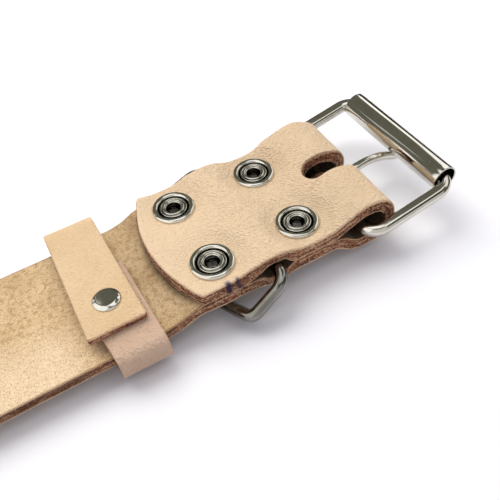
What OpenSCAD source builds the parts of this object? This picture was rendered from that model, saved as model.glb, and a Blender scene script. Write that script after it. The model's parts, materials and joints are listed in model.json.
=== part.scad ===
// Leather collar with a roller buckle. The strap lies flesh side up, so its folded buckle end
// shows the grain side. Four press studs close the fold round the buckle's heel bar and a ring.
// +X runs towards the buckle, +Y across the strap and +Z up. The floor is z = 0.

/* [Strap] */
// Overall length, from the tail's tip to the front of the roller
overall_l = 640; // [520:10:760]
// Width of the strap
strap_w = 40; // [38:0.5:42]
// Thickness of the leather
leather_t = 3.2; // [2.8:0.1:3.2]
// Radius of the arc that ends the folded flap
flap_arc_r = 42; // [36:1:60]
// Radius of the two arcs that make the tail's point
tip_arc_r = 30; // [26:1:40]
// Width of the slot that the prong passes through
slot_w = 7; // [6:0.5:8]
// Number of adjustment holes
hole_count = 6; // [4:1:8]
// Distance between adjustment holes
hole_pitch = 25; // [20:1:30]
// Diameter of an adjustment hole
hole_d = 5; // [4:0.5:6]
// Distance from the tail's tip to the first adjustment hole
first_hole = 75; // [60:5:100]

/* [Press studs] */
// Distance along the strap between the two pairs
stud_pitch = 25.4; // [25:0.1:26]
// Distance across the strap between the two of a pair
stud_gauge = 23; // [22:0.5:24]
// Diameter of the domed cap
cap_d = 12.6; // [12:0.1:12.8]
// Height of the domed cap
cap_h = 2.2; // [1.8:0.1:2.2]
// Diameter of the eyelet's rolled rim
eyelet_d = 11.9; // [11:0.1:12]
// Diameter of the socket and of the stud's base
socket_d = 11.4; // [11:0.1:11.6]
// Diameter of the stud's nub
nub_d = 6.4; // [6:0.1:6.6]

/* [Keeper] */
// Width of the keeper's band
keeper_w = 15; // [12:0.5:15]
// Thickness of the keeper's leather
keeper_t = 2.1; // [1.6:0.1:2.1]
// Distance from the first pair of press studs back to the keeper's middle
keeper_back = 27.3; // [27:0.1:28]
// Diameter of the rivet's caps
rivet_d = 7.4; // [6:0.1:8]

/* [Ring] */
// Diameter of the ring's wire
ring_wire = 3.4; // [3:0.1:3.4]
// Half of the straight bar between its corner bends
ring_bar_half = 20.4; // [20.2:0.1:21]
// Length of each leg between its bends
ring_leg = 7; // [6.5:0.1:7.2]

/* [Buckle] */
// Diameter of the frame's wire
frame_wire = 3.8; // [3.4:0.1:3.8]
// Width of the frame between the middles of its arms
frame_w = 46; // [45.6:0.1:47]
// Length of the frame between the middles of its bars
frame_l = 26.5; // [26:0.1:28]
// Slope of the frame above the strap, in degrees
frame_pitch = 10.3; // [9:0.1:11]
// Outer diameter of the roller
roller_d = 7.8; // [7.4:0.1:7.8]
// Wall of the roller
roller_wall = 0.5; // [0.4:0.1:0.6]
// Length of the roller
roller_l = 41.2; // [40:0.1:41.2]
// Diameter of the prong's shank
prong_d = 2.6; // [2.2:0.1:2.6]

/* [Hidden] */
$fn = 64;
half_w = strap_w / 2;
half_t = leather_t / 2;
frame_bend_r = 4.4;
heel_x = 41.5; // from the first pair of press studs
heel_z = 8.85;
front_x = heel_x + frame_l * cos(frame_pitch);
front_z = heel_z + frame_l * sin(frame_pitch);
first_pair_x = overall_l / 2 - front_x - roller_d / 2;
tail_x = -overall_l / 2 - first_pair_x; // the tail's tip, from the first pair of press studs

// Heights of the leather's two layers at each pair of press studs
stack_h = 7.5; // from the lower layer's underside to the flap's top
pair_z = [6.4, 6.0]; // the lower layer's underside at each pair
layer_gap = stack_h - 2 * leather_t;
recess_d = 0.9; // how deep the press studs bed into the leather
flap_top = [pair_z[0] + stack_h, pair_z[1] + stack_h];

// The lower layer, from the tail to the fold: x, height of the leather's middle, bend radius
carry_z = 4.5; // underside of the stretch that carries the keeper
low = half_t;
fold_r = 5.6;
fold_x = 49.8;
fold_low = 2.0 + half_t;
lower_run = [
    [tail_x, low, 0],
    [-270, low, 400],
    [-200, carry_z + half_t, 400],
    [-20.5, carry_z + half_t, 12],
    [-9, pair_z[0] + half_t, 12],
    [8.4, pair_z[0] + half_t, 5],
    [11.8, 5.3 + half_t, 5],
    [16.2, 5.3 + half_t, 5],
    [18.2, pair_z[1] + half_t, 5],
    [33.5, pair_z[1] + half_t, 5],
    [38.5, fold_low, 5]
];
// The fold and the flap, from the fold back to the flap's end
hump_top = 16.2;
fold_top = fold_low + 2 * fold_r + 0.2;
upper_run = [
    [fold_x, fold_low, fold_r],
    [fold_x, fold_top, fold_r],
    [42, fold_top, 8],
    [33.5, flap_top[1] - half_t, 10],
    [17.9, flap_top[1] - half_t, 3],
    [15.6, hump_top - half_t, 3.5],
    [12.4, hump_top - half_t, 3.5],
    [9.4, flap_top[0] - half_t, 3.5],
    [-12.4, flap_top[0] - half_t, 0]
];
strap_run = concat(lower_run, upper_run);
slot_y = 0.6;
slot_end = 35.6;
flap_end = -12.4;
tip_l = sqrt(pow(tip_arc_r, 2) - pow(tip_arc_r - half_w, 2));

// The keeper's band, seen along the strap: y, height of the leather's middle, bend radius
keeper_half_t = keeper_t / 2;
band_low = carry_z - 0.3 - keeper_half_t;
rivet_under = 0.75;
band_inner = carry_z + leather_t + 0.35 + rivet_under + keeper_half_t;
band_outer = band_inner + keeper_t + 0.05;
keeper_run = [
    [5, band_inner, 0],
    [-14, band_inner, 8],
    [-23.3, band_inner - 0.6, 2.2],
    [-23.3, band_low, 2.2],
    [24.2, band_low, 2.4],
    [24.2, band_outer, 3],
    [-16, band_outer, 0]
];
rivet_y = -7;
rivet_post_d = 3.2;

// The ring: its bar lies between the layers, its bow below the strap
ring_x = 14; // from the first pair of press studs
ring_z = 10.9;
ring_r = ring_wire / 2;
ring_corner_r = 4.5;
ring_corner = 83;
ring_shoulder_r = 2.6;
ring_shoulder = 70;
ring_turn = ring_corner + ring_shoulder;
ring_bow = 180 - ring_turn;
ring_bow_r = (ring_bar_half + ring_corner_r * sin(ring_corner) + ring_leg * cos(ring_corner)
    + ring_shoulder_r * (sin(ring_turn) - sin(ring_corner))) / sin(ring_turn);
ring_depth = ring_corner_r * (1 - cos(ring_corner)) + ring_leg * sin(ring_corner)
    + ring_shoulder_r * (cos(ring_corner) - cos(ring_turn)) + ring_bow_r * (1 + cos(ring_turn));
ring_pitch = asin((ring_z - ring_r) / ring_depth);

// The prong, from the heel bar: its loop, then a rise, a hump and a flat tip
prong_r = prong_d / 2;
prong_loop_r = 3.9;
prong_loop_w = 4.8;
prong_clear = 0.35;
prong_rise = 16.1;
prong_rise_l = 7.75;
prong_hump_r = 18;
prong_hump = 42.5;
prong_tip_r = 12;
prong_tip = 20;

// Where two pieces of bent wire meet
collar_l = 0.2;
collar_rise = 0.02;

STUDS = [for (pair = [0, 1], side = [-1, 1]) [pair, side]];

// The corner b between a and c as an arc, moved d to the left of the way from a to c
function unit(v) = v / norm(v);
function corner_arc(a, b, c, d) = let (
    p = [b[0], b[1]],
    u = unit([a[0], a[1]] - p),
    v = unit([c[0], c[1]] - p),
    half = acos(u * v) / 2,
    left = sign(u[1] * v[0] - u[0] * v[1]),
    centre = p + unit(u + v) * b[2] / sin(half),
    from = (p + u * b[2] / tan(half) - centre) * (1 - left * d / b[2]),
    turn = left * (180 - 2 * half),
    steps = max(2, ceil(abs(turn) / 7.5))
) [for (i = [0 : steps]) let (t = turn * i / steps)
    centre + [from[0] * cos(t) - from[1] * sin(t), from[0] * sin(t) + from[1] * cos(t)]];

// An end of the run at p, moved d to the left of the direction h
function run_end(p, h, d) = [p[0], p[1]] + d * unit([-h[1], h[0]]);

// A whole run of corners as one smooth line of points, moved d to its left
function smooth_line(run, d) = let (last = len(run) - 1) concat(
    [run_end(run[0], run[1] - run[0], d)],
    [for (i = [1 : last - 1]) each corner_arc(run[i - 1], run[i], run[i + 1], d)],
    [run_end(run[last], run[last] - run[last - 1], d)]
);
function reversed(list) = [for (i = [len(list) - 1 : -1 : 0]) list[i]];

// The cut edge of a band of leather, t thick, that follows a run
module band_edge(run, t) {
    polygon(concat(smooth_line(run, t / 2), reversed(smooth_line(run, -t / 2))));
}

// Puts its children in the frame whose x = 0 is the first pair of press studs
module from_first_pair() {
    translate([first_pair_x, 0, 0]) children();
}

// Puts its children on the axis of press stud i, at the underside of the lower layer
module at_stud(i) {
    pair = STUDS[i - 1][0];
    side = STUDS[i - 1][1];
    translate([first_pair_x + pair * stud_pitch, side * stud_gauge / 2, pair_z[pair]]) children();
}

// A bent wire in the XY plane that starts at the origin along +X. Each step is the length of a
// straight, then the radius and angle of the bend after it, which turns left if it is positive.
// A short collar, a hair thicker than the wire, joins each piece to the next.
module wire(steps, r, ball = false, i = 0) {
    if (i == len(steps)) {
        if (ball) sphere(r = r + collar_rise);
    } else {
        straight = steps[i][0];
        bend = steps[i][2];
        centre_y = steps[i][1] * (bend < 0 ? -1 : 1);
        if (straight > 0) rotate([0, 90, 0]) cylinder(h = straight, r = r);
        if (straight > 0 && bend != 0) translate([straight, 0, 0]) wire_collar(r);
        translate([straight, centre_y, 0]) {
            if (bend != 0) rotate([0, 0, bend < 0 ? 90 + bend : -90])
                rotate_extrude(angle = abs(bend)) translate([steps[i][1], 0]) circle(r = r);
            rotate([0, 0, bend]) translate([0, -centre_y, 0]) {
                if (i < len(steps) - 1) wire_collar(r);
                wire(steps, r, ball, i + 1);
            }
        }
    }
}

module wire_collar(r) {
    rotate([0, 90, 0]) cylinder(h = collar_l, r = r + collar_rise, center = true);
}

module tube(d, bore, h) {
    difference() {
        cylinder(h = h, d = d);
        translate([0, 0, -1]) cylinder(h = h + 2, d = bore);
    }
}

// The strap seen from above: straight sides and a pointed tail
module strap_plan() {
    tail_square = tail_x + tip_l;
    translate([tail_square, -half_w]) square([fold_x + 10 - tail_square, strap_w]);
    intersection() {
        translate([tail_square, tip_arc_r - half_w]) circle(r = tip_arc_r, $fn = 96);
        translate([tail_square, half_w - tip_arc_r]) circle(r = tip_arc_r, $fn = 96);
        translate([tail_x - 1, -half_w]) square([tip_l + 2, strap_w]);
    }
}

module prong_slot() {
    translate([slot_end + slot_w / 2, slot_y, -1]) cylinder(h = 30, d = slot_w);
    translate([slot_end + slot_w / 2, slot_y - slot_w / 2, -1]) cube([30, slot_w, 30]);
}

// What is cut away beyond the arc at the flap's end
module flap_corners() {
    translate([0, 0, flap_top[0] - leather_t - layer_gap / 2]) linear_extrude(10)
        difference() {
            translate([flap_end - 5, -half_w - 5]) square([16, strap_w + 10]);
            translate([flap_end + flap_arc_r, 0]) circle(r = flap_arc_r, $fn = 128);
        }
}

// Holes and beds for one press stud, in the lower layer and in the flap
module stud_cuts() {
    translate([0, 0, -1]) cylinder(h = leather_t + 2, d = 4.8);
    translate([0, 0, leather_t - recess_d])
        cylinder(h = layer_gap + 2 * recess_d, d = socket_d + 0.4);
    translate([0, 0, stack_h - leather_t]) cylinder(h = leather_t + 1, d = 5.2);
}

module strap() {
    color("burlywood") difference() {
        from_first_pair() intersection() {
            rotate([90, 0, 0]) linear_extrude(strap_w + 20, center = true)
                band_edge(strap_run, leather_t);
            translate([0, 0, -1]) linear_extrude(30) strap_plan();
        }
        from_first_pair() {
            prong_slot();
            flap_corners();
            for (i = [0 : hole_count - 1])
                translate([tail_x + first_hole + i * hole_pitch, 0, -1])
                    cylinder(h = leather_t + 2, d = hole_d);
        }
        for (i = [1 : len(STUDS)]) at_stud(i) stud_cuts();
    }
}

module keeper_loop() {
    color("wheat") from_first_pair() difference() {
        translate([-keeper_back, 0, 0]) rotate([90, 0, 90])
            linear_extrude(keeper_w, center = true) band_edge(keeper_run, keeper_t);
        translate([-keeper_back, rivet_y, band_inner - keeper_t])
            cylinder(h = 3 * keeper_t, d = rivet_post_d + 0.2);
    }
}

// The rivet's cap: a bevelled head on top and a pin down into the base's tube
module keeper_rivet_cap() {
    head_h = 1.0;
    bevel = 0.5;
    top = band_outer + keeper_half_t;
    color("silver") from_first_pair() translate([-keeper_back, rivet_y, top]) {
        rotate_extrude() polygon([
            [0, 0], [rivet_d / 2, 0], [rivet_d / 2, head_h - bevel],
            [rivet_d / 2 - bevel, head_h], [0, head_h]
        ]);
        translate([0, 0, -3]) cylinder(h = 3.5, d = 2);
    }
}

// The rivet's base: a thin head under the inner layer and a tube up through both layers
module keeper_rivet_base() {
    seat = band_inner - keeper_half_t;
    color("silver") from_first_pair() translate([-keeper_back, rivet_y, seat - rivet_under])
        difference() {
            union() {
                cylinder(h = rivet_under, d = rivet_d);
                cylinder(h = rivet_under + 2 * keeper_t - 0.2, d = rivet_post_d);
            }
            translate([0, 0, rivet_under]) cylinder(h = 10, d = 2.2);
        }
}

module d_ring() {
    color("silver") from_first_pair() translate([ring_x, 0, ring_z])
        rotate([0, -ring_pitch, 0]) rotate([0, 0, 90]) wire([
            [ring_bar_half, ring_corner_r, ring_corner],
            [ring_leg, ring_shoulder_r, ring_shoulder],
            [0, ring_bow_r, 2 * ring_bow],
            [0, ring_shoulder_r, ring_shoulder],
            [ring_leg, ring_corner_r, ring_corner],
            [ring_bar_half, 0, 0]
        ], ring_r);
}

module buckle_frame() {
    bar_half = frame_w / 2 - frame_bend_r;
    arm = frame_l - 2 * frame_bend_r;
    color("silver") from_first_pair() translate([heel_x, 0, heel_z])
        rotate([0, -frame_pitch, 0]) rotate([0, 0, -90]) wire([
            [bar_half, frame_bend_r, 90],
            [arm, frame_bend_r, 90],
            [2 * bar_half, frame_bend_r, 90],
            [arm, frame_bend_r, 90],
            [bar_half, 0, 0]
        ], frame_wire / 2);
}

module buckle_roller() {
    color("gainsboro") from_first_pair() translate([front_x, roller_l / 2, front_z])
        rotate([90, 0, 0]) tube(roller_d, roller_d - 2 * roller_wall, roller_l);
}

// The prong turns on the heel bar, and its tip lies under the roller
module buckle_prong() {
    loop_mid = prong_loop_r - 0.7;
    loop_angle = -19;
    color("silver") from_first_pair() translate([heel_x, 0, heel_z]) rotate([90, 0, 0]) {
        translate([0, 0, -prong_loop_w / 2])
            tube(2 * prong_loop_r, frame_wire + 2 * prong_clear, prong_loop_w);
        translate(loop_mid * [cos(loop_angle), sin(loop_angle), 0]) rotate([0, 0, prong_rise])
            wire([
                [prong_rise_l, prong_hump_r, -prong_hump],
                [0, prong_tip_r, prong_tip]
            ], prong_r, ball = true);
    }
}

// Press stud, lower half: the domed cap and its barrel, which is set in the socket
module snap_cap() {
    dome_r = (pow(cap_d / 2, 2) + pow(cap_h, 2)) / (2 * cap_h);
    color("silver") {
        rotate_extrude() intersection() {
            translate([0, dome_r - cap_h]) circle(r = dome_r, $fn = 128);
            translate([0, -cap_h]) square([cap_d / 2, cap_h]);
        }
        translate([0, 0, -0.5]) tube(4.4, 3.6, leather_t + 0.2);
        translate([0, 0, leather_t - recess_d + 0.5]) tube(5.6, 3.6, 0.3);
    }
}

// The socket: a plate that the cap's barrel holds, and a wall that takes the stud's nub
module snap_socket() {
    groove = 0.7;
    color("silver") translate([0, 0, leather_t - recess_d + 0.05]) difference() {
        union() {
            tube(socket_d, 4.6, 0.4);
            tube(socket_d, nub_d + 0.3, 1.9);
        }
        for (side = [-1, 1])
            translate([-4, side * (nub_d / 2 + 0.3) - groove / 2, 1.0]) cube([8, groove, groove]);
    }
}

// The two spring wires that grip the nub from either side
module snap_spring() {
    color("dimgray") for (side = [-1, 1])
        translate([-3.8, side * (nub_d / 2 + 0.3), leather_t - recess_d + 1.4])
            rotate([0, 90, 0]) cylinder(h = 7.6, d = 0.5);
}

// Press stud, upper half: the base under the flap and the nub that snaps into the socket
module snap_stud() {
    base_z = stack_h - leather_t + recess_d - 0.85;
    color("silver") {
        translate([0, 0, base_z]) tube(socket_d, 5, 0.8);
        translate([0, 0, base_z - 1.1]) tube(nub_d, 5, 1.2);
    }
}

// The eyelet: a rolled rim and an inner ring on the flap, and a barrel down through the stud
module snap_eyelet() {
    rim_r = 0.95;
    lip_r = 0.7;
    bore_r = 2;
    color("silver") translate([0, 0, stack_h]) rotate_extrude() {
        intersection() {
            union() {
                translate([eyelet_d / 2 - rim_r, 0]) circle(r = rim_r);
                translate([bore_r + 0.1 + lip_r, 0]) circle(r = lip_r);
                translate([bore_r, 0]) square([eyelet_d / 2 - rim_r - bore_r, 0.25]);
            }
            translate([bore_r, 0]) square([eyelet_d / 2, 2]);
        }
        translate([bore_r, -leather_t - 0.6]) square([0.4, leather_t + 0.8]);
    }
}

strap();
keeper_loop();
keeper_rivet_cap();
keeper_rivet_base();
d_ring();
buckle_frame();
buckle_roller();
buckle_prong();
for (i = [1 : len(STUDS)]) {
    at_stud(i) snap_cap();
    at_stud(i) snap_socket();
    at_stud(i) snap_spring();
    at_stud(i) snap_stud();
    at_stud(i) snap_eyelet();
}
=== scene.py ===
"""Looks of a leather collar with a roller buckle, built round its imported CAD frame.

The strap lies flesh side up. Its buckle end is folded back, grain side up, and four press studs
close the fold round the buckle's heel bar and a ring. Lengths in the builders are millimetres,
and every mesh is scaled to metres as it is made. Along the strap, u is measured from the first
pair of press studs, and s is the distance along the leather from the tail's tip.
"""

import json
import math
from collections import namedtuple

import bpy
import numpy as np
from mathutils import Matrix, Vector, geometry, kdtree, noise


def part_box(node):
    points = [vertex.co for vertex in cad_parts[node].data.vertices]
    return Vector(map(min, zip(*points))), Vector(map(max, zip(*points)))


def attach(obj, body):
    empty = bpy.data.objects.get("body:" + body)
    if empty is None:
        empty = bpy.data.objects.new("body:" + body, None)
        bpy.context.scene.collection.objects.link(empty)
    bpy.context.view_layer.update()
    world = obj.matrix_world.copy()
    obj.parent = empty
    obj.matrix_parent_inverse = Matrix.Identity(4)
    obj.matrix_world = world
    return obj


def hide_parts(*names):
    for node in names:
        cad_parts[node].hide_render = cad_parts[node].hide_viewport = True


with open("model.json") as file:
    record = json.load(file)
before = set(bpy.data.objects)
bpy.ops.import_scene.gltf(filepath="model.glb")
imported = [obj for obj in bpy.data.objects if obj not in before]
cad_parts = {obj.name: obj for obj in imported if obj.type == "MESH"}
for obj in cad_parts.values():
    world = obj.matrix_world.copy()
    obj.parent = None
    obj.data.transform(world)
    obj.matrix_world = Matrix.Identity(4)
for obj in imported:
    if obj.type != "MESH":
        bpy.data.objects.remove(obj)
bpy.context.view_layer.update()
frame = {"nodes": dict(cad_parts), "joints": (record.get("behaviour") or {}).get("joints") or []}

MM = 0.001


# ---- places taken from the frame

def node_box(node):
    """The lowest and highest corner of a CAD node, in millimetres."""
    low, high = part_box(node)
    return np.array(low) / MM, np.array(high) / MM


def node_centre(node):
    low, high = node_box(node)
    return (low + high) / 2


JOINT = {joint["name"]: joint for joint in frame["joints"]}


def joint_place(name):
    return np.array(JOINT[name]["pos_m"]) / MM


STUD_NUMBERS = (1, 2, 3, 4)
STUD_AXES = [node_centre(f"snap_eyelet_{i}") for i in STUD_NUMBERS]
FIRST_PAIR_X = STUD_AXES[0][0]
HEEL = joint_place("buckle_hinge")
FRONT = joint_place("roller_spin")
RING_BAR = joint_place("ring_swing")
RIVET = node_centre("keeper_rivet_cap")

# ---- driving dimensions, in mm

STRAP_W = 40.0
HALF_W = STRAP_W / 2
LEATHER_T = 3.2
HALF_T = LEATHER_T / 2
TAIL_U = node_box("strap")[0][0] - FIRST_PAIR_X
TIP_ARC_R = 30.0
FLAP_END_U = -12.4
FLAP_ARC_R = 42.0
SLOT_W = 7.0
SLOT_Y = 0.6
SLOT_END_U = 35.6
SLOT_RUN_ON = 1.1
STACK_H = 7.5
LOWER_UNDER = (6.4, 6.0)
FLAP_TOP = tuple(under + STACK_H for under in LOWER_UNDER)
HOLE_D = 5.0
HOLE_COUNT = 6
HOLE_PITCH = 25.0
FIRST_HOLE = 75.0
SNAP_PLATE_R = 5.9
BED_DEPTH = 0.9
DENT_R = 5.7
DENT_DEPTH = 0.45
LOWER_BORE_R = 2.4
FLAP_BORE_R = 2.6
STRAP_FRAY = 0.12

KEEPER_T = 2.1
KEEPER_FRAY = 0.08
KEEPER_CREASE = 0.35
RIVET_BORE_R = 1.75

WIRE_FRAME_R = 1.9
WIRE_RING_R = 1.7
RING_BAR_HALF = 20.4
RING_LEG = 7.0
RING_CORNER = (4.5, 83)
RING_SHOULDER = (2.6, 70)
PRONG_R = 1.3
PRONG_STRIP = (2.35, 0.8)
PRONG_LOOP_R = 3.075
PRONG_LOOP_FROM = math.radians(28)
PRONG_LOOP_TURN = math.radians(232)
PRONG_LEAVES_AT = math.radians(-19)
PRONG_RISE = math.radians(16.1)
PRONG_SHANK = ((7.75, 18, -42.5), (0, 12, 20))
PRONG_BRIDGE = 3.0
ROLLER_R = 3.9
ROLLER_WALL = 0.5
ROLLER_L = 41.2
ROLLER_SEAM = math.radians(-60)


# ---- mesh helpers

def link(obj):
    bpy.context.scene.collection.objects.link(obj)
    return obj


def mesh_piece(name, points, faces, materials, body, node, slots=None):
    """A smooth-shaded mesh object from points in millimetres, in place of its CAD node."""
    mesh = bpy.data.meshes.new(name)
    mesh.from_pydata((np.asarray(points, float) * MM).tolist(), [], faces)
    for material in materials:
        mesh.materials.append(material)
    if slots is not None:
        mesh.polygons.foreach_set("material_index", np.asarray(slots, np.int32))
    mesh.polygons.foreach_set("use_smooth", [True] * len(mesh.polygons))
    mesh.update()
    obj = link(bpy.data.objects.new(name, mesh))
    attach(obj, body)
    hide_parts(node)
    return obj


def write_attribute(obj, name, values):
    """A number or a vector at each point, for the materials to read."""
    values = np.asarray(values, np.float32)
    kind, key = ("FLOAT_VECTOR", "vector") if values.ndim == 2 else ("FLOAT", "value")
    layer = obj.data.attributes.new(name, kind, "POINT")
    layer.data.foreach_set(key, values.ravel())


def unit(vector):
    return vector / np.linalg.norm(vector)


def heading(angle):
    """The flat unit vector at an angle in radians."""
    return np.array([math.cos(angle), math.sin(angle)])


def arc_points(centre, start, turn, steps):
    """Points round a centre in a plane, from start through a signed turn in radians."""
    arm = np.array(start, float) - centre
    angles = np.linspace(0, turn, steps + 1)
    cos, sin = np.cos(angles), np.sin(angles)
    return np.stack([centre[0] + arm[0] * cos - arm[1] * sin,
                     centre[1] + arm[0] * sin + arm[1] * cos], 1)


def rounded_run(corners, arc_steps=24, line_steps=40):
    """A run of (across, up, bend radius) corners as dense points. Two runs with the same number
    of corners get the same number of points, so that they can be mixed point by point."""
    corners = [np.array(corner, float) for corner in corners]
    share = np.linspace(0, 1, line_steps + 1)[1:-1, None]
    run = [corners[0][None, :2]]
    for before, corner, after in zip(corners, corners[1:], corners[2:]):
        place, radius = corner[:2], corner[2]
        to_before = unit(before[:2] - place)
        to_after = unit(after[:2] - place)
        half = math.acos(float(np.clip(to_before @ to_after, -1, 1))) / 2
        start = place + to_before * radius / math.tan(half)
        centre = place + unit(to_before + to_after) * radius / math.sin(half)
        side = np.sign(to_before[1] * to_after[0] - to_before[0] * to_after[1])
        run.append(run[-1][-1] * (1 - share) + start * share)
        run.append(arc_points(centre, start, side * (math.pi - 2 * half), arc_steps))
    run.append(run[-1][-1] * (1 - share) + corners[-1][:2] * share)
    run.append(corners[-1][None, :2])
    return np.concatenate(run)


def lengths_along(points):
    steps = np.linalg.norm(np.diff(points, axis=0), axis=1)
    return np.concatenate([[0.0], np.cumsum(steps)])


def softened(values, width):
    """Values on an even grid, rounded off by three passes of a moving mean."""
    kernel = np.ones(width) / width
    for _ in range(3):
        padded = np.pad(values, width // 2, mode="reflect", reflect_type="odd")
        values = np.convolve(padded, kernel, mode="valid")
    return values


def smooth_step(low, high, x):
    """0 where x is at low, 1 where it is at high, and a smooth step between."""
    t = np.clip((np.asarray(x, float) - low) / (high - low), 0, 1)
    return t * t * (3 - 2 * t)


def plateau(x, rise_from, rise_to, fall_from, fall_to):
    """1 between rise_to and fall_from, with smooth steps up to it and down again."""
    return smooth_step(rise_from, rise_to, x) * smooth_step(fall_to, fall_from, x)


def fractal(points, scale, seed):
    """Seeded fractal noise, about -1 to 1, at flat or solid points in millimetres."""
    shift = Vector((seed * 17.3, seed * 5.1, seed * 9.7))
    return np.array([noise.fractal(Vector(p).to_3d() * scale + shift, 1.0, 2.0, 3)
                     for p in points])


def band(ring, following):
    """Faces between two closed rings of point numbers. A ring of one number is a pole."""
    quads = np.c_[ring, np.roll(ring, -1), np.roll(following, -1), following]
    faces = [tuple(dict.fromkeys(quad)) for quad in quads.tolist()]
    return [face for face in faces if len(face) > 2]


def lathe(profile, steps):
    """Points and faces of a closed (radius, height) profile turned round the Z axis."""
    points, rings = [], []
    for radius, height in profile:
        first = len(points)
        if radius < 1e-6:
            rings.append(np.full(steps, first))
            points.append((0.0, 0.0, height))
            continue
        rings.append(np.arange(first, first + steps))
        points += [(*ring_point, height) for ring_point in ring_section(radius, steps)]
    faces = []
    for ring, following in zip(rings, rings[1:] + rings[:1]):
        faces += band(ring, following)
    return np.array(points), faces


def circle_arc(centre_r, centre_z, radius, start, end, steps):
    """Profile points on a circle, from start to end in degrees."""
    angles = np.radians(np.linspace(start, end, steps + 1))
    return [(centre_r + radius * math.cos(a), centre_z + radius * math.sin(a)) for a in angles]


def sweep(path, sections, first_side=(0, 0, 1), closed=False):
    """Points and faces of a section carried along a path of 3-D points. sections has one
    (n, 2) array for each of them. The section's first axis starts out towards first_side."""
    ahead = np.roll(path, -1, 0) - path
    behind = np.roll(ahead, 1, 0)
    tangents = ahead + behind
    if not closed:
        tangents[0], tangents[-1] = ahead[0], behind[-1]
    tangents /= np.linalg.norm(tangents, axis=1)[:, None]
    side = np.array(first_side, float)
    points = []
    for place, tangent, section in zip(path, tangents, sections):
        side = unit(side - tangent * (side @ tangent))
        up = np.cross(tangent, side)
        points.append(place + section[:, :1] * side + section[:, 1:] * up)
    rings = np.arange(len(path) * len(sections[0])).reshape(len(path), -1)
    faces = []
    for ring, following in zip(rings, np.roll(rings, -1, 0) if closed else rings[1:]):
        faces += band(ring, following)
    if not closed:
        faces += [tuple(rings[0, ::-1].tolist()), tuple(rings[-1].tolist())]
    return np.concatenate(points), faces


def ring_section(radius, steps):
    angles = np.arange(steps) * 2 * math.pi / steps
    return np.c_[np.cos(angles), np.sin(angles)] * radius


def bent_wire(steps, arc_step=5.0, line_step=2.0):
    """The middle line of a bent wire in a plane. Each step is the length of a straight, then
    the radius and signed angle in degrees of the bend after it."""
    place = np.zeros(2)
    angle = 0.0
    line = [place]
    for straight, radius, bend in steps:
        ahead = heading(angle)
        if straight > 0:
            pieces = max(1, int(straight / line_step))
            line += [place + ahead * straight * (k + 1) / pieces for k in range(pieces)]
        place = line[-1]
        if bend:
            centre = place + math.copysign(radius, bend) * np.array([-ahead[1], ahead[0]])
            count = max(2, math.ceil(abs(bend) / arc_step))
            line += list(arc_points(centre, place, math.radians(bend), count)[1:])
            place = line[-1]
            angle += math.radians(bend)
    return np.array(line)


# ---- materials

def srgb(red, green, blue):
    """A linear colour from 0-255 display values."""
    def channel(value):
        value /= 255
        return value / 12.92 if value <= 0.04045 else ((value + 0.055) / 1.055) ** 2.4
    return (channel(red), channel(green), channel(blue), 1.0)


class Shader:
    """A material's node tree, with short calls for the nodes that this scene uses."""

    def __init__(self, name):
        self.material = bpy.data.materials.new(name)
        self.material.use_nodes = True
        self.tree = self.material.node_tree
        self.bsdf = self.tree.nodes["Principled BSDF"]

    def put(self, socket, value):
        if isinstance(value, bpy.types.NodeSocket):
            self.tree.links.new(value, socket)
        else:
            socket.default_value = value

    def node(self, kind, inputs=None, **settings):
        made = self.tree.nodes.new(f"ShaderNode{kind}")
        for key, value in settings.items():
            setattr(made, key, value)
        for key, value in (inputs or {}).items():
            self.put(made.inputs[key], value)
        return made

    def mark(self, name, output="Fac"):
        """What the mesh's points carry under a name."""
        return self.node("Attribute", attribute_name=name).outputs[output]

    def coordinates(self):
        return self.node("TexCoord").outputs["Object"]

    def mapped(self, vector, scale=(1, 1, 1), turn=(0, 0, 0)):
        return self.node("Mapping", {"Vector": vector, "Scale": scale,
                                     "Rotation": turn}).outputs["Vector"]

    def noise(self, vector, scale, detail, rough, distortion=0.0):
        return self.node("TexNoise", {
            "Vector": vector, "Scale": scale, "Detail": detail, "Roughness": rough,
            "Distortion": distortion}).outputs["Fac"]

    def cells(self, vector, scale):
        return self.node("TexVoronoi", {"Vector": vector, "Scale": scale},
                         feature="SMOOTH_F1").outputs["Distance"]

    def math(self, operation, a, b=0.0, c=0.0):
        return self.node("Math", {0: a, 1: b, 2: c}, operation=operation).outputs[0]

    def span(self, value, low, high, to_low, to_high):
        """A smooth step from to_low to to_high as value goes from low to high."""
        return self.node("MapRange", {
            "Value": value, "From Min": low, "From Max": high, "To Min": to_low,
            "To Max": to_high}, interpolation_type="SMOOTHSTEP").outputs["Result"]

    def mix(self, share, a, b):
        """A mix of two colours. One of three numbers is in display values."""
        a, b = (srgb(*c) if isinstance(c, tuple) and len(c) == 3 else c for c in (a, b))
        return self.node("Mix", {0: share, 6: a, 7: b}, data_type="RGBA").outputs[2]

    def stained(self, base, *stains):
        """The base colour under stains. Each is (value, low, high, amount, colour): the colour
        comes in up to that amount as the value goes from low to high."""
        for value, low, high, amount, colour in stains:
            base = self.mix(self.span(value, low, high, 0.0, amount), base, colour)
        return base

    def bump(self, strength, distance, height, *layers):
        """Relief from a height and (value, share) layers on it, of a distance in millimetres."""
        for value, share in layers:
            height = self.math("MULTIPLY_ADD", value, share, height)
        bump = self.node("Bump", {"Height": height, "Strength": strength,
                                  "Distance": distance * MM})
        self.put(self.bsdf.inputs["Normal"], bump.outputs["Normal"])

    def finished(self, **inputs):
        """The material, with these values or links on its shader's sockets."""
        for key, value in inputs.items():
            self.put(self.bsdf.inputs[key.replace("_", " ")], value)
        return self.material


WRINKLE_TURN = math.radians(-43)
WRINKLE_STRETCH = (0.85, 1.6, 1.0)


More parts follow.
